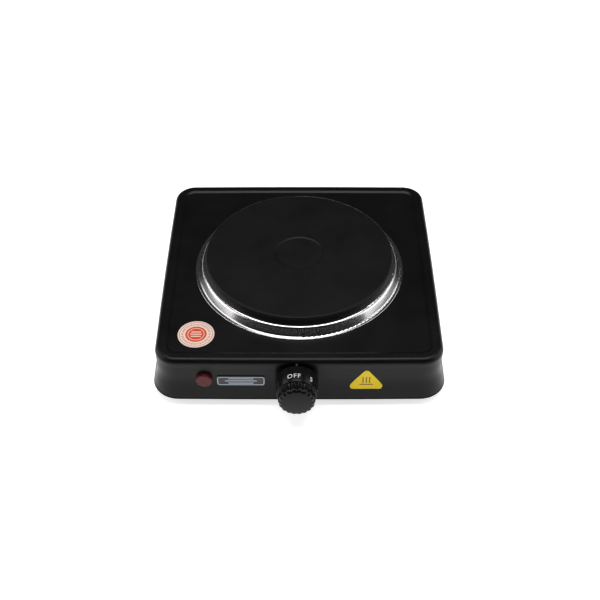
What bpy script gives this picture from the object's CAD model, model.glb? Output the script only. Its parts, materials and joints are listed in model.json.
"""Looks of a single-plate electric cooker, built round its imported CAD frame.

The CAD nodes carry the shapes and the joints. This script gives every node its finish, builds the
control knob, the printed marks and the trim as meshes of their own, and sets up a plain studio.
All lengths are metres in the frame's own axes: +Z up, the knob towards -Y.
"""

from __future__ import annotations

import json
import logging
import math
from abc import ABC, abstractmethod
from dataclasses import dataclass, field
from enum import Enum
from typing import Callable, Iterable, Sequence

import bmesh
import bpy
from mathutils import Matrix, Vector
from mathutils.bvhtree import BVHTree

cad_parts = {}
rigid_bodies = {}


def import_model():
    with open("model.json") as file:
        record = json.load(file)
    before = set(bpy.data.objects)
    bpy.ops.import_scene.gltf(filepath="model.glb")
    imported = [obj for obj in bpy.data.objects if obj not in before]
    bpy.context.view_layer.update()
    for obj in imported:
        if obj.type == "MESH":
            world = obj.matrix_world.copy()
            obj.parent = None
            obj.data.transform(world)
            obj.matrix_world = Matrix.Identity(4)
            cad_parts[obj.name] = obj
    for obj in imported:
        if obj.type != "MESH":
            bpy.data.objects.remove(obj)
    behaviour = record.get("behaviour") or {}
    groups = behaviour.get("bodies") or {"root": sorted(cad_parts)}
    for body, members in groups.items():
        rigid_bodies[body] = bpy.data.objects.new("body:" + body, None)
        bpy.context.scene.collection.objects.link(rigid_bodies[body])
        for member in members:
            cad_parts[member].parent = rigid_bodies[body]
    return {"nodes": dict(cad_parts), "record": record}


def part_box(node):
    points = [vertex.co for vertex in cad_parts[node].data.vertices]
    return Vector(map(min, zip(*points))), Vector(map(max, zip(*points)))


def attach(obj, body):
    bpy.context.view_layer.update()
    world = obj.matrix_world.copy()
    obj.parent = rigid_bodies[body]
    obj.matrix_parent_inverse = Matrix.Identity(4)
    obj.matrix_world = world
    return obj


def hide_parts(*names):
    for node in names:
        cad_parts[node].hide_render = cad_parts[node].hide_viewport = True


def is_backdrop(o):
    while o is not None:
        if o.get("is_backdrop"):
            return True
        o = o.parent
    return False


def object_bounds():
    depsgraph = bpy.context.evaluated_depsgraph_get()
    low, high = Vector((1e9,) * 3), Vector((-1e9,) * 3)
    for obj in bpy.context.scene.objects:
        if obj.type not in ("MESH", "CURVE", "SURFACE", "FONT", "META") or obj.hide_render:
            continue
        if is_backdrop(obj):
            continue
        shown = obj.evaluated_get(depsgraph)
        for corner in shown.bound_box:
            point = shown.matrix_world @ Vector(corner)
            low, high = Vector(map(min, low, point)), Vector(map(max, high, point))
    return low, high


for leftover in list(bpy.data.objects):
    bpy.data.objects.remove(leftover)

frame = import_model()

LOG = logging.getLogger("cooker")
MM = 0.001

Colour = tuple[float, float, float]
Point2 = tuple[float, float]


class Body(Enum):
    """The rigid bodies that a piece can ride on."""

    HOUSING = "housing"
    KNOB = "knob"


# ---- Finishes ----------------------------------------------------------------------------------


class NodeBoard:
    """A material's node tree, with short calls to add and join nodes."""

    def __init__(self, name: str) -> None:
        """Start a material with a lone Principled shader.

        Args:
            name: The material's name.
        """
        self.material = bpy.data.materials.new(name)
        self.material.use_nodes = True
        self.tree = self.material.node_tree
        self.shader = self.tree.nodes["Principled BSDF"]

    def add(self, kind: str, settings: dict | None = None, **inputs: object) -> bpy.types.Node:
        """Add a node.

        Args:
            kind: The node's type without its ShaderNode prefix.
            settings: Properties to set on the node.
            **inputs: Input values by socket name, with underscores for spaces.

        Returns:
            The new node.
        """
        node = self.tree.nodes.new(f"ShaderNode{kind}")
        for key, value in (settings or {}).items():
            setattr(node, key, value)
        for key, value in inputs.items():
            node.inputs[key.replace("_", " ")].default_value = value
        return node

    def join(self, source: bpy.types.NodeSocket, target: bpy.types.NodeSocket) -> None:
        """Link one socket to another."""
        self.tree.links.new(source, target)

    def place(self) -> bpy.types.NodeSocket:
        """The surface's own coordinates, in metres."""
        return self.add("TexCoord").outputs["Object"]

    def noise(self, scale: float, detail: float = 3.0, stretch: Colour = (1, 1, 1)) -> bpy.types.NodeSocket:
        """A soft noise over the surface.

        Args:
            scale: Features per metre.
            detail: How many octaves are added.
            stretch: Scale along each axis, for grain with a direction.

        Returns:
            The noise's value, about 0 to 1.
        """
        mapping = self.add("Mapping", Scale=stretch)
        self.join(self.place(), mapping.inputs["Vector"])
        noise = self.add("TexNoise", Scale=scale, Detail=detail, Roughness=0.55)
        self.join(mapping.outputs["Vector"], noise.inputs["Vector"])
        return noise.outputs["Fac"]

    def spread(self, value: bpy.types.NodeSocket, low: float, high: float) -> bpy.types.NodeSocket:
        """Map a noise onto a range of values."""
        mapped = self.add("MapRange", From_Min=0.3, From_Max=0.7, To_Min=low, To_Max=high)
        self.join(value, mapped.inputs["Value"])
        return mapped.outputs["Result"]

    def blend(self, value: bpy.types.NodeSocket, first: Colour, second: Colour) -> bpy.types.NodeSocket:
        """Blend two colours by a value from 0 to 1."""
        ramp = self.add("ValToRGB")
        ramp.color_ramp.elements[0].color = (*first, 1)
        ramp.color_ramp.elements[0].position = 0.3
        ramp.color_ramp.elements[1].color = (*second, 1)
        ramp.color_ramp.elements[1].position = 0.7
        self.join(value, ramp.inputs["Fac"])
        return ramp.outputs["Color"]

    def emboss(
        self,
        height: bpy.types.NodeSocket,
        strength: float,
        distance: float,
        under: bpy.types.NodeSocket | None = None,
    ) -> bpy.types.NodeSocket:
        """Turn a height into a bumped normal.

        Args:
            height: The height field.
            strength: How much of the bump shows.
            distance: The bump's depth in metres.
            under: A normal from another bump to build on.

        Returns:
            The bumped normal.
        """
        bump = self.add("Bump", Strength=strength, Distance=distance)
        self.join(height, bump.inputs["Height"])
        if under is not None:
            self.join(under, bump.inputs["Normal"])
        return bump.outputs["Normal"]

    def feed(self, socket: str, source: bpy.types.NodeSocket) -> None:
        """Drive one of the shader's sockets."""
        self.join(source, self.shader.inputs[socket])

    def fix(self, **values: object) -> None:
        """Set constants on the shader's own sockets."""
        for key, value in values.items():
            self.shader.inputs[key.replace("_", " ")].default_value = value

    def radius_about(self, centre: Vector) -> tuple[bpy.types.NodeSocket, bpy.types.NodeSocket]:
        """Polar coordinates about an upright axis.

        Args:
            centre: A point on the axis.

        Returns:
            The distance from the axis in metres, and the angle round it in radians.
        """
        away = self.add("VectorMath", {"operation": "SUBTRACT"})
        self.join(self.place(), away.inputs[0])
        away.inputs[1].default_value = centre
        split = self.add("SeparateXYZ")
        self.join(away.outputs["Vector"], split.inputs["Vector"])
        flat = self.add("CombineXYZ")
        self.join(split.outputs["X"], flat.inputs["X"])
        self.join(split.outputs["Y"], flat.inputs["Y"])
        length = self.add("VectorMath", {"operation": "LENGTH"})
        self.join(flat.outputs["Vector"], length.inputs[0])
        angle = self.add("Math", {"operation": "ARCTAN2"})
        self.join(split.outputs["Y"], angle.inputs[0])
        self.join(split.outputs["X"], angle.inputs[1])
        return length.outputs["Value"], angle.outputs["Value"]


@dataclass(frozen=True)
class Finish(ABC):
    """What a surface is made of.

    Attributes:
        name: The finish's name.
        colour: Base colour, linear.
        roughness: Mean roughness.
    """

    name: str
    colour: Colour
    roughness: float

    @abstractmethod
    def paint(self, board: NodeBoard) -> None:
        """Build the finish's nodes.

        Args:
            board: The material's node tree.
        """

    def material(self) -> bpy.types.Material:
        """The finish as a material, made once.

        Returns:
            The Blender material.
        """
        name = f"finish_{self.name}"
        known = bpy.data.materials.get(name)
        if known is not None:
            return known
        board = NodeBoard(name)
        self.paint(board)
        return board.material

    def shade(self, factor: float) -> Colour:
        """The base colour, lighter or darker."""
        red, green, blue = self.colour
        return (red * factor, green * factor, blue * factor)


@dataclass(frozen=True)
class Enamel(Finish):
    """Stoved enamel on sheet steel, with a faint orange peel.

    Attributes:
        peel: How strongly the orange peel shows.
        coat: Weight of the clear outer layer.
        shine: Strength of the surface's own reflection.
        peel_scale: Features per metre of the peel.
        fine_scale: Features per metre of its finest ripple.
    """

    peel: float = 0.25
    coat: float = 0.05
    shine: float = 0.13
    peel_scale: float = 420.0
    fine_scale: float = 2600.0

    def paint(self, board: NodeBoard) -> None:
        """Build the enamel.

        Args:
            board: The material's node tree.
        """
        cloud = board.noise(22.0, 4.0)
        board.feed("Base Color", board.blend(cloud, self.shade(0.85), self.shade(1.2)))
        board.feed("Roughness", board.spread(cloud, self.roughness - 0.04, self.roughness + 0.05))
        peel = board.emboss(board.noise(self.peel_scale, 2.0), self.peel, 0.00002)
        fine = board.emboss(board.noise(self.fine_scale, 2.0), self.peel * 0.6, 0.000006, peel)
        board.feed("Normal", fine)
        board.fix(Coat_Weight=self.coat, Coat_Roughness=0.25, Specular_IOR_Level=self.shine)


@dataclass(frozen=True)
class CoatedIron(Finish):
    """Turned cast iron under a heat-proof black coating.

    Attributes:
        centre: A point on the plate's axis.
        pitch: Distance between the turning marks.
        faint_ring: Radius of the faint ring where the tool was lifted.
    """

    centre: Vector = field(default_factory=Vector)
    pitch: float = 0.0011
    faint_ring: float = 0.042

    def paint(self, board: NodeBoard) -> None:
        """Build the coated iron.

        Args:
            board: The material's node tree.
        """
        radius, _ = board.radius_about(self.centre)
        wander = board.add("Math", {"operation": "MULTIPLY_ADD"})
        board.join(board.noise(60.0, 2.0), wander.inputs[0])
        wander.inputs[1].default_value = self.pitch * 0.5
        board.join(radius, wander.inputs[2])
        turns = board.add("Math", {"operation": "MULTIPLY"})
        board.join(wander.outputs["Value"], turns.inputs[0])
        turns.inputs[1].default_value = 2 * math.pi / self.pitch
        ridge = board.add("Math", {"operation": "SINE"})
        board.join(turns.outputs["Value"], ridge.inputs[0])
        marks = board.emboss(ridge.outputs["Value"], 0.35, 0.00002)
        grain = board.emboss(board.noise(1500.0, 5.0), 0.5, 0.00003, marks)
        ring = board.emboss(self.ring_height(board, radius), 0.5, 0.00008, grain)
        board.feed("Normal", ring)
        cloud = board.noise(35.0, 6.0)
        board.feed("Base Color", board.blend(cloud, self.shade(0.8), self.shade(1.25)))
        board.feed("Roughness", board.spread(cloud, self.roughness - 0.05, self.roughness + 0.06))
        board.fix(Specular_IOR_Level=0.16)

    def ring_height(self, board: NodeBoard, radius: bpy.types.NodeSocket) -> bpy.types.NodeSocket:
        """A low ridge at the faint ring's radius.

        Args:
            board: The material's node tree.
            radius: The distance from the axis.

        Returns:
            The ridge's height, 0 to 1.
        """
        away = board.add("Math", {"operation": "SUBTRACT"})
        board.join(radius, away.inputs[0])
        away.inputs[1].default_value = self.faint_ring
        off = board.add("Math", {"operation": "ABSOLUTE"})
        board.join(away.outputs["Value"], off.inputs[0])
        ridge = board.add("MapRange", {"interpolation_type": "SMOOTHSTEP"})
        ridge.inputs["From Min"].default_value = 0.0
        ridge.inputs["From Max"].default_value = 0.0012
        ridge.inputs["To Min"].default_value = 1.0
        ridge.inputs["To Max"].default_value = 0.0
        board.join(off.outputs["Value"], ridge.inputs["Value"])
        return ridge.outputs["Result"]


@dataclass(frozen=True)
class SpunSteel(Finish):
    """Polished stainless steel with fine marks that run round its axis.

    Attributes:
        centre: A point on the ring's axis.
    """

    centre: Vector = field(default_factory=Vector)

    def paint(self, board: NodeBoard) -> None:
        """Build the spun steel.

        Args:
            board: The material's node tree.
        """
        radius, angle = board.radius_about(self.centre)
        polar = board.add("CombineXYZ")
        around = board.add("Math", {"operation": "MULTIPLY"})
        around.inputs[1].default_value = 0.004
        board.join(angle, around.inputs[0])
        board.join(radius, polar.inputs["X"])
        board.join(around.outputs["Value"], polar.inputs["Y"])
        marks = board.add("TexNoise", Scale=5200.0, Detail=3.0, Roughness=0.6)
        board.join(polar.outputs["Vector"], marks.inputs["Vector"])
        tone = marks.outputs["Fac"]
        board.feed("Roughness", board.spread(tone, self.roughness * 0.9, self.roughness * 1.15))
        board.feed("Normal", board.emboss(tone, 0.03, 0.000003))
        cloud = board.noise(28.0, 3.0)
        board.feed("Base Color", board.blend(cloud, self.shade(0.94), self.shade(1.04)))
        board.fix(Metallic=1.0)


@dataclass(frozen=True)
class BareMetal(Finish):
    """Plated, rolled or machined metal.

    Attributes:
        grain: Features per metre of its fine grain.
        spangle: How strongly the colour varies.
    """

    grain: float = 900.0
    spangle: float = 0.12

    def paint(self, board: NodeBoard) -> None:
        """Build the metal.

        Args:
            board: The material's node tree.
        """
        cloud = board.noise(120.0, 4.0)
        low, high = self.shade(1 - self.spangle), self.shade(1 + self.spangle)
        board.feed("Base Color", board.blend(cloud, low, high))
        board.feed("Roughness", board.spread(cloud, self.roughness - 0.06, self.roughness + 0.08))
        board.feed("Normal", board.emboss(board.noise(self.grain, 3.0), 0.2, 0.00001))
        board.fix(Metallic=1.0)


@dataclass(frozen=True)
class Moulding(Finish):
    """Moulded plastic, rubber or insulation.

    Attributes:
        grain: Features per metre of the mould's texture.
        relief: How strongly the texture shows.
        gloss_coat: Weight of a clear, glossy outer layer.
        shine: Strength of the surface's own reflection.
    """

    grain: float = 1400.0
    relief: float = 0.15
    gloss_coat: float = 0.0
    shine: float = 0.4

    def paint(self, board: NodeBoard) -> None:
        """Build the moulding.

        Args:
            board: The material's node tree.
        """
        cloud = board.noise(70.0, 3.0)
        board.feed("Base Color", board.blend(cloud, self.shade(0.9), self.shade(1.12)))
        board.feed("Roughness", board.spread(cloud, self.roughness - 0.03, self.roughness + 0.04))
        board.feed("Normal", board.emboss(board.noise(self.grain, 3.0), self.relief, 0.00001))
        board.fix(Coat_Weight=self.gloss_coat, Coat_Roughness=0.06, Specular_IOR_Level=self.shine)


@dataclass(frozen=True)
class Fired(Finish):
    """Unglazed ceramic or cast cement, speckled and slightly porous.

    Attributes:
        speckle: How much darker its specks are.
    """

    speckle: float = 0.2

    def paint(self, board: NodeBoard) -> None:
        """Build the ceramic.

        Args:
            board: The material's node tree.
        """
        specks = board.noise(900.0, 6.0)
        low, high = self.shade(1 - self.speckle), self.shade(1.05)
        board.feed("Base Color", board.blend(specks, low, high))
        board.feed("Roughness", board.spread(specks, self.roughness - 0.08, self.roughness + 0.05))
        board.feed("Normal", board.emboss(specks, 0.4, 0.00005))


@dataclass(frozen=True)
class Clear(Finish):
    """Clear or tinted glass and acrylic.

    Attributes:
        through: How much light passes.
        ior: Index of refraction.
    """

    through: float = 1.0
    ior: float = 1.49

    def paint(self, board: NodeBoard) -> None:
        """Build the clear material.

        Args:
            board: The material's node tree.
        """
        cloud = board.noise(300.0, 3.0)
        board.feed("Base Color", board.blend(cloud, self.shade(0.9), self.shade(1.05)))
        board.feed("Roughness", board.spread(cloud, self.roughness, self.roughness + 0.05))
        board.feed("Normal", board.emboss(board.noise(700.0, 2.0), 0.06, 0.00002))
        board.fix(Transmission_Weight=self.through, IOR=self.ior)


@dataclass(frozen=True)
class Print(Finish):
    """Printing ink or foil, slightly uneven in tone.

    Attributes:
        gloss_coat: Weight of a clear outer layer.
    """

    gloss_coat: float = 0.3

    def paint(self, board: NodeBoard) -> None:
        """Build the ink.

        Args:
            board: The material's node tree.
        """
        tone = board.noise(800.0, 4.0)
        board.feed("Base Color", board.blend(tone, self.shade(0.92), self.shade(1.04)))
        board.feed("Roughness", board.spread(tone, self.roughness - 0.05, self.roughness + 0.05))
        board.feed("Normal", board.emboss(tone, 0.1, 0.000008))
        board.fix(Coat_Weight=self.gloss_coat, Coat_Roughness=0.15, Specular_IOR_Level=0.2)


def plate_centre() -> Vector:
    """A point on the heating plate's axis."""
    low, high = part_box("hotplate_casting")
    return (Vector(low) + Vector(high)) / 2


def slot_finishes() -> dict[str, Finish]:
    """The finish of each of the record's material slots.

    Returns:
        Finishes by slot name.
    """
    centre = plate_centre()
    return {
        "black_enamel": Enamel("black_enamel", (0.0042, 0.0038, 0.0041), 0.34),
        "base_paint": Enamel("base_paint", (0.02, 0.02, 0.021), 0.5, peel=0.4, coat=0.0),
        "cast_iron": CoatedIron("cast_iron", (0.0028, 0.0025, 0.0026), 0.5, centre=centre),
        "stainless": SpunSteel("stainless", (0.6, 0.59, 0.59), 0.2, centre=centre),
        "zinc_steel": BareMetal("zinc_steel", (0.55, 0.55, 0.53), 0.38, spangle=0.2),
        "spindle_steel": BareMetal("spindle_steel", (0.5, 0.5, 0.51), 0.28),
        "rubber_black": Moulding("rubber_black", (0.018, 0.018, 0.018), 0.75, grain=600.0, relief=0.5),
        "brass": BareMetal("brass", (0.69, 0.49, 0.2), 0.3),
        "nickel": BareMetal("nickel", (0.58, 0.55, 0.5), 0.34),
        "cement": Fired("cement", (0.62, 0.58, 0.5), 0.9, speckle=0.35),
        "ceramic_white": Fired("ceramic_white", (0.82, 0.79, 0.7), 0.55),
        "spring_copper": BareMetal("spring_copper", (0.65, 0.36, 0.22), 0.32),
        "bimetal": BareMetal("bimetal", (0.5, 0.47, 0.43), 0.36, grain=1800.0),
        "contact_silver": BareMetal("contact_silver", (0.85, 0.84, 0.82), 0.2),
        "knob_plastic": KNOB_FINISH,
        "lens_red": Clear("lens_red", (0.12, 0.008, 0.013), 0.25, through=0.25, ior=1.3),
        "bulb_glass": Clear("bulb_glass", (0.95, 0.9, 0.85), 0.03, ior=1.5),
        "block_plastic": Moulding("block_plastic", (0.72, 0.7, 0.64), 0.45),
        "lead_brown": Moulding("lead_brown", (0.16, 0.06, 0.025), 0.5),
        "lead_blue": Moulding("lead_blue", (0.03, 0.1, 0.4), 0.5),
        "lead_earth": Moulding("lead_earth", (0.2, 0.4, 0.04), 0.5),
        "plate_finish": Moulding("plate_finish", (0.012, 0.013, 0.016), 0.3, gloss_coat=0.1),
        "label_yellow": Print("label_yellow", (0.86, 0.62, 0.01), 0.4, gloss_coat=0.0),
        "label_round": Print("label_round", (0.8, 0.62, 0.54), 0.4),
    }


BRIGHT_TRIM = BareMetal("bright_trim", (0.25, 0.28, 0.33), 0.22, spangle=0.05)
WHITE_INK = Print("white_ink", (0.62, 0.62, 0.62), 0.5, gloss_coat=0.0)
GREY_INK = Print("grey_ink", (0.3, 0.3, 0.3), 0.5, gloss_coat=0.0)
OLIVE_INK = Print("olive_ink", (0.16, 0.1, 0.004), 0.45)
ROSE_INK = Print("rose_ink", (0.42, 0.15, 0.1), 0.45)
ORANGE_INK = Print("orange_ink", (0.62, 0.08, 0.03), 0.4, gloss_coat=0.0)
LABEL_WHITE = Print("label_white", (0.88, 0.72, 0.64), 0.4)
KNOB_FINISH = Moulding("knob_plastic", (0.005, 0.0045, 0.0045), 0.2, gloss_coat=0.05, shine=0.12)


# ---- Mesh work ---------------------------------------------------------------------------------


def add_piece(name: str, mesh: bpy.types.Mesh, finish: Finish, body: Body) -> bpy.types.Object:
    """Show a mesh as a piece of the object.

    Args:
        name: The piece's name.
        mesh: Its mesh, in the frame's coordinates.
        finish: What it is made of.
        body: The body that it rides on.

    Returns:
        The new object.
    """
    piece = bpy.data.objects.new(name, mesh)
    bpy.context.scene.collection.objects.link(piece)
    mesh.materials.clear()
    mesh.materials.append(finish.material())
    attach(piece, body.value)
    LOG.info("%s rides on %s, %d faces", name, body.value, len(mesh.polygons))
    return piece


def mesh_of(name: str, points: Sequence[Sequence[float]], faces: Sequence[Sequence[int]]) -> bpy.types.Mesh:
    """A smooth-shaded mesh with outward faces.

    Args:
        name: The mesh's name.
        points: Its vertices.
        faces: Its faces, as vertex numbers.

    Returns:
        The mesh.
    """
    mesh = bpy.data.meshes.new(name)
    mesh.from_pydata([tuple(point) for point in points], [], [tuple(face) for face in faces])
    work = bmesh.new()
    work.from_mesh(mesh)
    bmesh.ops.remove_doubles(work, verts=work.verts, dist=1e-7)
    bmesh.ops.recalc_face_normals(work, faces=work.faces)
    work.to_mesh(mesh)
    work.free()
    mesh.shade_smooth()
    mesh.set_sharp_from_angle(angle=math.radians(38))
    return mesh


def rounded_corner(corner: Point2, radius: float, start: float, turn: float, steps: int = 6) -> list[Point2]:
    """Points along a quarter or other arc.

    Args:
        corner: The arc's centre.
        radius: Its radius.
        start: Its first angle in degrees.
        turn: How far it turns, in degrees.
        steps: How many runs it has.

    Returns:
        The arc's points.
    """
    angles = [math.radians(start + turn * step / steps) for step in range(steps + 1)]
    return [(corner[0] + radius * math.cos(a), corner[1] + radius * math.sin(a)) for a in angles]


class Ribbon:
    """A flat printed or raised line of even width, laid onto a surface."""

    def __init__(
        self, path: Sequence[Point2], width: float, closed: bool = False, step: float = 0.5 * MM
    ) -> None:
        """Prepare a ribbon.

        Args:
            path: Its middle line, in the surface's two coordinates.
            width: Its width.
            closed: True if its end joins its start.
            step: The longest run between two of its points.
        """
        self.width = width
        self.closed = closed
        self.path = self._divided(path, step)

    def _divided(self, path: Sequence[Point2], step: float) -> list[Vector]:
        """Divide each run of the path.

        Args:
            path: The middle line's corners.
            step: The longest run that may stay whole.

        Returns:
            The finer line.
        """
        corners = [Vector(point) for point in path]
        ends = corners[1:] + corners[:1] if self.closed else corners[1:]
        line = []
        for start, end in zip(corners, ends):
            count = max(1, math.ceil((end - start).length / step))
            line += [start.lerp(end, index / count) for index in range(count)]
        if not self.closed:
            line.append(corners[-1])
        return line

    def _across(self, index: int) -> Vector:
        """The sideways half width at a point, mitred at bends.

        Args:
            index: The point's number.

        Returns:
            The offset from the middle line to its left edge.
        """
        count = len(self.path)
        before = self.path[index - 1] if index or self.closed else self.path[index]
        after = self.path[(index + 1) % count] if index < count - 1 or self.closed else self.path[index]
        here = self.path[index]
        headings = [run.normalized() for run in (here - before, after - here) if run.length > 1e-9]
        heading = sum(headings, Vector((0, 0))).normalized()
        mitre = max(0.5, heading.dot(headings[-1]))
        return Vector((-heading.y, heading.x)) * (self.width / 2 / mitre)

    def solid(self, name: str, lay: Callable[[Vector, float], Vector], height: float) -> bpy.types.Mesh:
        """The ribbon as a thin closed strip.

        Args:
            name: The mesh's name.
            lay: Puts a flat point onto the surface at a height above it.
            height: The strip's thickness.

        Returns:
            The mesh.
        """
        points: list[Vector] = []
        for index, here in enumerate(self.path):
            side = self._across(index)
            row = [here + side, here, here - side]
            points += [lay(point, height) for point in row]
            points += [lay(point, 0.0) for point in reversed(row)]
        count = len(self.path)
        last = count if self.closed else count - 1
        faces = []
        for index in range(last):
            first, second = index * 6, (index + 1) % count * 6
            faces += [
                (first + k, first + (k + 1) % 6, second + (k + 1) % 6, second + k) for k in range(6)
            ]
        if not self.closed:
            faces += [tuple(range(6)), tuple(range(6 * (count - 1), 6 * count))]
        return mesh_of(name, points, faces)


class FrontSurface:
    """The outer face of a front-facing CAD node, onto which flat marks are laid."""

    def __init__(self, node: str) -> None:
        """Read the node's faces.

        Args:
            node: The CAD node's name.
        """
        mesh = frame["nodes"][node].data
        vertices = [vertex.co.copy() for vertex in mesh.vertices]
        self.tree = BVHTree.FromPolygons(vertices, [tuple(face.vertices) for face in mesh.polygons])
        self.start_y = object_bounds()[0][1] - 0.1

    def lay(self, point: Vector, height: float) -> Vector:
        """Put a point, given in x and z, onto the surface.

        Args:
            point: The flat point.
            height: How far it stands in front of the surface.

        Returns:
            The point in the frame.
        """
        spot, normal, _, _ = self.tree.ray_cast(Vector((point.x, self.start_y, point.y)), Vector((0, 1, 0)))
        if spot is None:
            raise ValueError(f"nothing in front at x {point.x:.4f}, z {point.y:.4f}")
        if normal.y > 0:
            normal = -normal
        return spot + normal * height


def joined(name: str, meshes: Iterable[bpy.types.Mesh]) -> bpy.types.Mesh:
    """Several meshes as one.

    Args:
        name: The new mesh's name.
        meshes: The meshes to join, which are removed.

    Returns:
        The joined mesh.
    """
    work = bmesh.new()
    for mesh in meshes:
        work.from_mesh(mesh)
        bpy.data.meshes.remove(mesh)
    whole = bpy.data.meshes.new(name)
    work.to_mesh(whole)
    work.free()
    whole.shade_smooth()
    whole.set_sharp_from_angle(angle=math.radians(38))
    return whole


# ---- Sub-assemblies ----------------------------------------------------------------------------


class SubAssembly(ABC):
    """A group of pieces that belong together."""

    @abstractmethod
    def build(self) -> list[bpy.types.Object]:
        """Make the group's own pieces.

        Returns:
            The pieces that were made.
        """


@dataclass
class CadNodes(SubAssembly):
    """The CAD nodes that stay visible, each with its slot's finish.

    Attributes:
        finishes: Finishes by slot name.
    """

    finishes: dict[str, Finish]

    def build(self) -> list[bpy.types.Object]:
        """Dress every CAD node.

        Returns:
            The dressed nodes.
        """
        dressed = []
        for row in frame["record"]["subparts"]:
            node = frame["nodes"][row["node"]]
            self.dress(node, self.finishes[row["material_slot"]])
            dressed.append(node)
        return dressed

    def dress(self, node: bpy.types.Object, finish: Finish) -> None:
        """Give a node its finish.

        Args:
            node: The CAD node's object.
            finish: What it is made of.
        """
        for slot in node.material_slots:
            slot.material = finish.material()
        LOG.info("%s wears %s", node.name, finish.name)


@dataclass
class ControlKnob(SubAssembly):
    """Moulded knob with a tapered skirt, a fluted grip and a domed face.

    Attributes:
        skirt_radius: Radius at the skirt's rear edge.
        skirt_front_radius: Radius at the skirt's front edge.
        skirt_length: The skirt's length along the axis.
        grip_radius: Radius over the grip's lobes.
        grip_front_radius: Radius over the lobes at the face.
        length: Length from the skirt's rear edge to the face's middle.
        edge_radius: Rounding between the grip and the face.
        dome: How far the face bulges.
        wall: Wall thickness.
        hub_radius: Outer radius of the hub.
        bore_radius: Radius of the spindle's bore.
        bore_depth: The bore's end, from the skirt's rear edge.
        lobes: How many lobes the grip has.
        flute_depth: Depth of the flutes between them.
        segments: Steps round each lobe.
    """

    skirt_radius: float = 19.9 * MM
    skirt_front_radius: float = 18.4 * MM
    skirt_length: float = 17.0 * MM
    grip_radius: float = 17.1 * MM
    grip_front_radius: float = 17.0 * MM
    length: float = 28.5 * MM
    edge_radius: float = 3.6 * MM
    dome: float = 0.9 * MM
    wall: float = 2.2 * MM
    hub_radius: float = 6.0 * MM
    bore_radius: float = 3.05 * MM
    bore_depth: float = 16.1 * MM
    lobes: int = 18
    flute_depth: float = 1.1 * MM
    segments: int = 16

    def outer_line(self) -> list[tuple[float, float, float]]:
        """The outer section from the rear edge to the axis.

        Returns:
            Radius, distance from the rear edge and share of the flutes, point by point.
        """
        lip = 0.35 * MM
        line = [(r, z, 0.0) for r, z in rounded_corner((self.skirt_radius - lip, lip), lip, -90, 90)]
        soft = 0.5 * MM
        shoulder = (self.skirt_front_radius - soft, self.skirt_length - soft)
        line += [(r, z, 0.0) for r, z in rounded_corner(shoulder, soft, 5, 85)]
        root = 0.4 * MM
        foot = (self.grip_radius + root, self.skirt_length + root)
        line += [(r, z, 0.35) for r, z in rounded_corner(foot, root, -90, -90, 4)]
        line.append((self.grip_radius, self.skirt_length + 2.2 * root, 1.0))
        face_z = self.length - self.dome
        edge = (self.grip_front_radius - self.edge_radius, face_z - self.edge_radius)
        line.append((self.grip_front_radius, edge[1] - 2 * MM, 1.0))
        corner = rounded_corner(edge, self.edge_radius, 0, 82, 10)
        line += [(r, z, 1.0 - 0.5 * index / 10) for index, (r, z) in enumerate(corner)]
        inner = corner[-1][0]
        for step in range(1, 9):
            radius = inner * (1 - step / 8)
            share = max(0.0, 0.5 - 0.25 * step)
            rise = self.dome * (1 - (radius / inner) ** 2)
            line.append((radius, corner[-1][1] + (self.length - corner[-1][1]) * rise / self.dome, share))
        return line

    def inner_line(self, hub_rear: float) -> list[tuple[float, float, float]]:
        """The hollow back's section from the axis to the rear edge.

        Args:
            hub_rear: How far the hub's end stands from the skirt's rear edge, negative behind it.

        Returns:
            Radius, distance from the rear edge and share of the flutes, point by point.
        """
        floor = self.length - self.dome - self.wall
        deep = self.grip_radius - self.flute_depth - self.wall
        wide = self.skirt_front_radius - self.wall
        step_z = self.skirt_length - self.wall / 2
        corners = [
            (0.0, self.bore_depth),
            (self.bore_radius, self.bore_depth),
            (self.bore_radius, hub_rear),
            (self.hub_radius, hub_rear),
            (self.hub_radius, floor),
            (deep, floor),
            (deep, step_z),
            (wide, step_z),
            (self.skirt_radius - self.wall, 0.0),
        ]
        return [(radius, z, 0.0) for radius, z in corners]

    def radius_at(self, radius: float, share: float, angle: float) -> float:
        """The radius at an angle, with the flutes cut in."""
        valley = (0.5 + 0.5 * math.cos(self.lobes * angle)) ** 1.4
        return radius - share * self.flute_depth * valley

    def build(self) -> list[bpy.types.Object]:
        """Make the knob and its printed marks.

        Returns:
            The knob's pieces.
        """
        low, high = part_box("control_knob")
        rear_y = low[1] + self.length
        centre = Vector(((low[0] + high[0]) / 2, rear_y, (low[2] + high[2]) / 2))
        section = self.outer_line() + self.inner_line(rear_y - high[1])
        around = self.lobes * self.segments
        points, faces = [], []
        for step in range(around):
            angle = 2 * math.pi * step / around
            for radius, depth, share in section:
                reach = self.radius_at(radius, share, angle)
                points.append(centre + Vector((reach * math.sin(angle), -depth, reach * math.cos(angle))))
        rows = len(section)
        for step in range(around):
            here, there = step * rows, (step + 1) % around * rows
            for row in range(rows):
                after = (row + 1) % rows
                faces.append((here + row, here + after, there + after, there + row))
        knob = add_piece("knob_body", mesh_of("knob_body", points, faces), KNOB_FINISH, Body.KNOB)
        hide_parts("control_knob")
        return [knob] + KnobMarks(self, centre).build()


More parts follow.
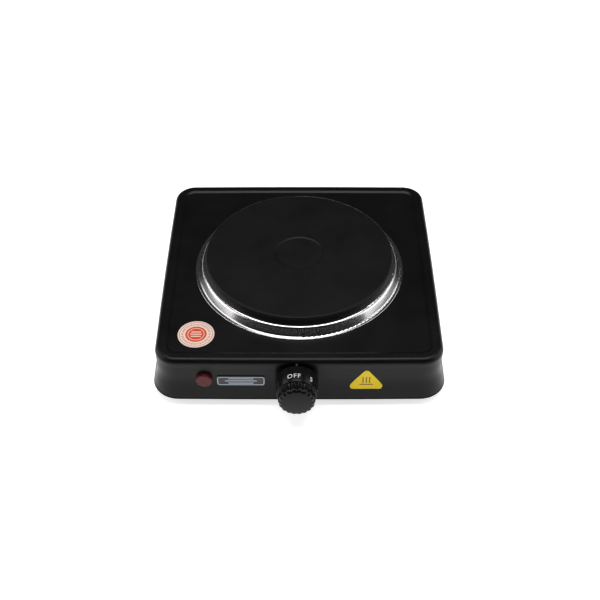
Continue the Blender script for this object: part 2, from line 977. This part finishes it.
@dataclass
class KnobMarks(SubAssembly):
    """The marks printed round the knob's skirt.

    Attributes:
        knob: The knob that carries them.
        centre: The middle of the skirt's rear edge.
        first_turn: Where the first mark stands, in degrees clockwise from the top.
        first_step: From the first mark to the next one, in degrees.
        step: Between the further marks, in degrees.
        height: Height of the characters.
        middle: The characters' middle, from the skirt's rear edge.
        ink: Thickness of the ink.
    """

    knob: ControlKnob
    centre: Vector
    first_turn: float = -8.0
    first_step: float = 98.0
    step: float = 52.5
    height: float = 4.5 * MM
    middle: float = 11.0 * MM
    ink: float = 0.06 * MM

    def turns(self) -> dict[str, float]:
        """Each mark's text and its place round the skirt.

        Returns:
            Degrees clockwise from the top, by text.
        """
        marks = {"OFF": self.first_turn}
        for number in range(1, 6):
            marks[str(number)] = self.first_turn - self.first_step - self.step * (number - 1)
        return marks

    def on_skirt(self, point: Vector, turn: float, height: float) -> Vector:
        """Wrap a flat point onto the skirt.

        Args:
            point: The flat point, x clockwise and y towards the wall.
            turn: The mark's place in degrees.
            height: How far it stands off the skirt.

        Returns:
            The point in the frame.
        """
        depth = self.middle - point.y
        taper = (self.knob.skirt_radius - self.knob.skirt_front_radius) / self.knob.skirt_length
        radius = self.knob.skirt_radius - taper * depth
        angle = math.radians(turn) + point.x / radius
        reach = radius + height
        return self.centre + Vector((reach * math.sin(angle), -depth, reach * math.cos(angle)))

    def glyphs(self, text: str) -> bpy.types.Mesh:
        """A text as a flat, finely divided mesh centred on its own middle.

        Args:
            text: The characters.

        Returns:
            The flat mesh.
        """
        curve = bpy.data.curves.new("mark", "FONT")
        curve.body = text
        curve.align_x = "CENTER"
        curve.align_y = "CENTER"
        curve.size = self.height * 1.4
        curve.space_character = 1.22
        curve.offset = 0.08 * MM
        curve.resolution_u = 4
        holder = bpy.data.objects.new("mark", curve)
        flat = bpy.data.meshes.new_from_object(holder)
        bpy.data.objects.remove(holder)
        work = bmesh.new()
        work.from_mesh(flat)
        bmesh.ops.remove_doubles(work, verts=work.verts, dist=1e-6)
        bmesh.ops.triangulate(work, faces=work.faces)
        bmesh.ops.subdivide_edges(work, edges=work.edges, cuts=3, use_grid_fill=True)
        work.to_mesh(flat)
        work.free()
        return flat

    def build(self) -> list[bpy.types.Object]:
        """Print every mark.

        Returns:
            The marks.
        """
        made = []
        for text, turn in self.turns().items():
            mesh = self.glyphs(text)
            work = bmesh.new()
            work.from_mesh(mesh)
            extruded = bmesh.ops.extrude_face_region(work, geom=work.faces)
            raised = {v for v in extruded["geom"] if isinstance(v, bmesh.types.BMVert)}
            for vertex in work.verts:
                height = self.ink if vertex in raised else -self.ink / 2
                vertex.co = self.on_skirt(vertex.co, turn, height)
            bmesh.ops.recalc_face_normals(work, faces=work.faces)
            work.to_mesh(mesh)
            work.free()
            made.append(add_piece(f"mark_{text}", mesh, WHITE_INK, Body.KNOB))
        return made


@dataclass
class FrontMarks(SubAssembly):
    """The index line above the knob, printed on the housing.

    Attributes:
        width: The line's width.
        top_drop: From the rim down to the line's upper end.
        length: The line's length.
    """

    width: float = 1.8 * MM
    top_drop: float = 3.4 * MM
    length: float = 4.5 * MM

    def build(self) -> list[bpy.types.Object]:
        """Print the index line.

        Returns:
            The index line.
        """
        low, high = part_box("control_knob")
        middle = (low[0] + high[0]) / 2
        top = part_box("top_housing")[1][2] - self.top_drop
        surface = FrontSurface("top_housing")
        line = Ribbon([(middle, top), (middle, top - self.length)], self.width)
        mesh = line.solid("index_line", surface.lay, 0.06 * MM)
        return [add_piece("index_line", mesh, GREY_INK, Body.HOUSING)]


@dataclass
class NamePlate(SubAssembly):
    """Bright trim on the blank name plate.

    Attributes:
        inset: From the plate's edge to the border's middle line.
        corner: The border's corner radius.
        border: The border's width.
        relief: How far the trim stands proud.
        bars: Length of each bar, as a share of the plate's length.
    """

    inset: float = 0.9 * MM
    corner: float = 2.2 * MM
    border: float = 0.75 * MM
    relief: float = 0.15 * MM
    bars: tuple[float, ...] = (0.52, 0.66, 0.52)

    def border_path(self, low: Vector, high: Vector) -> list[Point2]:
        """The border's middle line, a rounded rectangle.

        Args:
            low: The plate's lower left corner, in x and z.
            high: Its upper right corner.

        Returns:
            The line's points.
        """
        left, bottom = low.x + self.inset + self.corner, low.y + self.inset + self.corner
        right, top = high.x - self.inset - self.corner, high.y - self.inset - self.corner
        path = rounded_corner((right, bottom), self.corner, -90, 90, 8)
        path += rounded_corner((right, top), self.corner, 0, 90, 8)
        path += rounded_corner((left, top), self.corner, 90, 90, 8)
        path += rounded_corner((left, bottom), self.corner, 180, 90, 8)
        return path

    def build(self) -> list[bpy.types.Object]:
        """Make the border and the bars.

        Returns:
            The trim pieces.
        """
        box_low, box_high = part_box("name_plate")
        low, high = Vector((box_low[0], box_low[2])), Vector((box_high[0], box_high[2]))
        surface = FrontSurface("name_plate")
        border = Ribbon(self.border_path(low, high), self.border, closed=True)
        made = [border.solid("border", surface.lay, self.relief)]
        middle, span = (low + high) / 2, high.x - low.x
        for index, share in enumerate(self.bars):
            z = middle.y + (1 - index) * 2.7 * MM
            half = span * share / 2
            bar = Ribbon([(middle.x - half, z), (middle.x + half, z)], 1.1 * MM)
            made.append(bar.solid("bar", surface.lay, self.relief))
        return [add_piece("name_plate_trim", joined("name_plate_trim", made), BRIGHT_TRIM, Body.HOUSING)]


@dataclass
class WarningMarks(SubAssembly):
    """Plain strokes on the yellow triangle: upright bars over a base line.

    Attributes:
        bar_height: Height of each bar.
        bar_pitch: Distance between the bars.
        bar_width: Width of each bar.
        base_length: Length of the line under them.
        base_rise: From the label's lower edge to that line.
    """

    bar_height: float = 7.6 * MM
    bar_pitch: float = 3.1 * MM
    bar_width: float = 1.0 * MM
    base_length: float = 12.5 * MM
    base_rise: float = 4.9 * MM

    def build(self) -> list[bpy.types.Object]:
        """Print the strokes.

        Returns:
            The strokes.
        """
        low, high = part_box("warning_label")
        middle = (low[0] + high[0]) / 2
        base = low[2] + self.base_rise
        surface = FrontSurface("warning_label")
        half = self.base_length / 2
        lines = [Ribbon([(middle - half, base), (middle + half, base)], self.bar_width)]
        for index in (-1, 0, 1):
            x = middle + index * self.bar_pitch
            foot = base + 1.6 * MM
            lines.append(Ribbon([(x, foot), (x, foot + self.bar_height)], self.bar_width))
        meshes = [line.solid("stroke", surface.lay, 0.05 * MM) for line in lines]
        return [add_piece("warning_strokes", joined("warning_strokes", meshes), OLIVE_INK, Body.HOUSING)]


@dataclass
class RoundLabelPrint(SubAssembly):
    """The printing on the round label: rings, dashes, dots and a plain centre.

    Attributes:
        ring_radius: Middle radius of the thin outer ring.
        ring_width: Its width.
        dash_radius: Middle radius of the ring of dashes.
        dash_length: Each dash's length along the radius.
        dash_width: Each dash's width.
        dashes: How many dashes the ring would have without its two dots.
        disc_radius: Radius of the coloured centre.
        film: Thickness of the ink.
    """

    ring_radius: float = 15.4 * MM
    ring_width: float = 0.5 * MM
    dash_radius: float = 12.7 * MM
    dash_length: float = 2.0 * MM
    dash_width: float = 0.75 * MM
    dashes: int = 40
    disc_radius: float = 10.0 * MM
    film: float = 0.05 * MM

    def __post_init__(self) -> None:
        """Find the label's top face."""
        low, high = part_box("round_label")
        self.centre = Vector(((low[0] + high[0]) / 2, (low[1] + high[1]) / 2, high[2]))

    def lay(self, point: Vector, height: float) -> Vector:
        """Put a flat point, measured from the label's middle, onto the label."""
        return self.centre + Vector((point.x, point.y, height))

    def circle(self, radius: float, steps: int = 96) -> list[Point2]:
        """Points round a circle about the label's middle."""
        return rounded_corner((0, 0), radius, 0, 360 * (steps - 1) / steps, steps - 1)

    def disc(self, name: str, centre: Point2, radius: float, lift: float) -> bpy.types.Mesh:
        """A thin round spot of ink.

        Args:
            name: The mesh's name.
            centre: Its middle, from the label's middle.
            radius: Its radius.
            lift: The height of its upper face over the label.

        Returns:
            The mesh.
        """
        steps = 64
        rim = rounded_corner(centre, radius, 0, 360 * (steps - 1) / steps, steps - 1)
        points = [self.lay(Vector(point), lift) for point in rim]
        points += [self.lay(Vector(point), 0.0) for point in rim]
        faces = [tuple(range(steps)), tuple(range(2 * steps - 1, steps - 1, -1))]
        for index in range(steps):
            after = (index + 1) % steps
            faces.append((index, index + steps, after + steps, after))
        return mesh_of(name, points, faces)

    def dash(self, turn: float) -> bpy.types.Mesh:
        """One dash that points at the label's middle.

        Args:
            turn: Its place in radians.

        Returns:
            The mesh.
        """
        heading = Vector((math.cos(turn), math.sin(turn)))
        inner = heading * (self.dash_radius - self.dash_length / 2)
        outer = heading * (self.dash_radius + self.dash_length / 2)
        return Ribbon([tuple(inner), tuple(outer)], self.dash_width).solid("dash", self.lay, self.film)

    def centre_strokes(self) -> list[bpy.types.Mesh]:
        """Light strokes on the coloured centre: a ring and three bars."""
        lift = 2 * self.film
        meshes = [Ribbon(self.circle(7.6 * MM), 0.5 * MM, closed=True).solid("ring", self.lay, lift)]
        for index in (-1, 0, 1):
            y = index * 2.8 * MM
            half = math.sqrt(max(0.0, (5.4 * MM) ** 2 - y ** 2))
            bar = Ribbon([(-half, y), (half, y)], 1.0 * MM)
            meshes.append(bar.solid("bar", self.lay, lift))
        return meshes

    def build(self) -> list[bpy.types.Object]:
        """Print the label.

        Returns:
            The printed pieces.
        """
        ring = Ribbon(self.circle(self.ring_radius), self.ring_width, closed=True)
        rose = [ring.solid("ring", self.lay, self.film)]
        for index in range(self.dashes):
            turn = 2 * math.pi * (index + 0.5) / self.dashes
            if abs(math.sin(turn)) > 0.2:
                rose.append(self.dash(turn))
        for side in (-1, 1):
            rose.append(self.disc("dot", (side * self.dash_radius, 0), 0.8 * MM, self.film))
        centre = self.disc("label_centre", (0, 0), self.disc_radius, self.film)
        rings = joined("label_rings", rose)
        strokes = joined("label_strokes", self.centre_strokes())
        return [
            add_piece("label_rings", rings, ROSE_INK, Body.HOUSING),
            add_piece("label_centre", centre, ORANGE_INK, Body.HOUSING),
            add_piece("label_strokes", strokes, LABEL_WHITE, Body.HOUSING),
        ]


# ---- Studio ------------------------------------------------------------------------------------


@dataclass(frozen=True)
class SoftBox:
    """A soft rectangular lamp.

    Attributes:
        name: Its name.
        place: Its middle, from the housing's middle on the floor.
        size: Its width and height.
        power: Its power in watts.
    """

    name: str
    place: Colour
    size: Point2
    power: float

    def hang(self, target: Vector) -> None:
        """Hang the lamp and aim it.

        Args:
            target: The point that it faces.
        """
        lamp = bpy.data.lights.new(self.name, "AREA")
        lamp.shape = "RECTANGLE"
        lamp.size, lamp.size_y = self.size
        lamp.energy = self.power
        holder = bpy.data.objects.new(self.name, lamp)
        base = Vector((target.x, target.y, 0))
        holder.location = base + Vector(self.place)
        holder.rotation_euler = (target - holder.location).to_track_quat("-Z", "Y").to_euler()
        bpy.context.scene.collection.objects.link(holder)


@dataclass
class Studio:
    """Pale floor, soft lamps and the camera.

    Attributes:
        camera_back: From the housing's middle back to the camera.
        camera_rise: From the housing's rim up to the camera.
        camera_side: The camera's small offset to the right.
        pitch: How far the camera looks down, in degrees.
        focal: Focal length in millimetres.
        sensor: The sensor's width in millimetres.
        floor_size: Width of the floor.
        floor_glow: The floor's own light, which keeps it pale.
        room: Brightness of the surrounding room.
    """

    camera_back: float = 0.7577
    camera_rise: float = 0.67314
    camera_side: float = 0.00075
    pitch: float = 43.5954
    focal: float = 60.77
    sensor: float = 36.0
    floor_size: float = 12.0
    floor_glow: float = 0.7
    room: float = 0.02
    lamps: tuple[SoftBox, ...] = (
        SoftBox("overhead", (0.0, 0.15, 1.5), (1.5, 0.8), 20.0),
        SoftBox("left_side", (-1.25, 0.05, 0.6), (1.3, 1.1), 9.0),
        SoftBox("right_side", (1.25, 0.05, 0.6), (1.3, 1.1), 9.0),
    )

    def build(self) -> None:
        """Set up the whole studio."""
        low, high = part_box("top_housing")
        middle = Vector(((low[0] + high[0]) / 2, (low[1] + high[1]) / 2, high[2]))
        self.lay_floor(middle)
        self.dim_room()
        for lamp in self.lamps:
            lamp.hang(middle)
        self.set_camera(middle)
        bpy.context.scene.view_settings.view_transform = "Standard"

    def lay_floor(self, middle: Vector) -> None:
        """Lay the floor.

        Args:
            middle: The middle of the housing's rim.
        """
        half = self.floor_size / 2
        corners = [(-half, -half), (half, -half), (half, half), (-half, half)]
        points = [(middle.x + x, middle.y + y, 0.0) for x, y in corners]
        mesh = bpy.data.meshes.new("floor")
        mesh.from_pydata(points, [], [(0, 1, 2, 3)])
        board = NodeBoard("floor_paper")
        board.feed("Base Color", board.blend(board.noise(3.0, 2.0), (0.86, 0.86, 0.86), (0.88, 0.88, 0.88)))
        board.fix(Roughness=0.9, Specular_IOR_Level=0.1, Emission_Strength=self.floor_glow)
        board.fix(Emission_Color=(1, 1, 1, 1))
        mesh.materials.append(board.material)
        floor = bpy.data.objects.new("floor", mesh)
        bpy.context.scene.collection.objects.link(floor)
        floor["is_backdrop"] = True

    def dim_room(self) -> None:
        """Give the room a low, even brightness."""
        world = bpy.data.worlds.new("room")
        world.use_nodes = True
        sky = world.node_tree.nodes["Background"]
        sky.inputs["Color"].default_value = (1, 1, 1, 1)
        sky.inputs["Strength"].default_value = self.room
        bpy.context.scene.world = world

    def set_camera(self, middle: Vector) -> None:
        """Place the camera.

        Args:
            middle: The middle of the housing's rim.
        """
        lens = bpy.data.cameras.new("camera")
        lens.lens = self.focal
        lens.sensor_width = self.sensor
        camera = bpy.data.objects.new("camera", lens)
        camera.location = middle + Vector((self.camera_side, -self.camera_back, self.camera_rise))
        camera.rotation_euler = (math.radians(90 - self.pitch), 0, 0)
        bpy.context.scene.collection.objects.link(camera)
        bpy.context.scene.camera = camera


def main() -> None:
    """Build every sub-assembly in order and report the pieces."""
    logging.basicConfig(level=logging.INFO, format="%(name)s: %(message)s")
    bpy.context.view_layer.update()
    Studio().build()
    sub_assemblies: list[SubAssembly] = [
        CadNodes(slot_finishes()),
        ControlKnob(),
        FrontMarks(),
        NamePlate(),
        WarningMarks(),
        RoundLabelPrint(),
    ]
    for sub_assembly in sub_assemblies:
        made = sub_assembly.build()
        LOG.info("%s: %d pieces", type(sub_assembly).__name__, len(made))


if __name__ == "__main__":
    main()
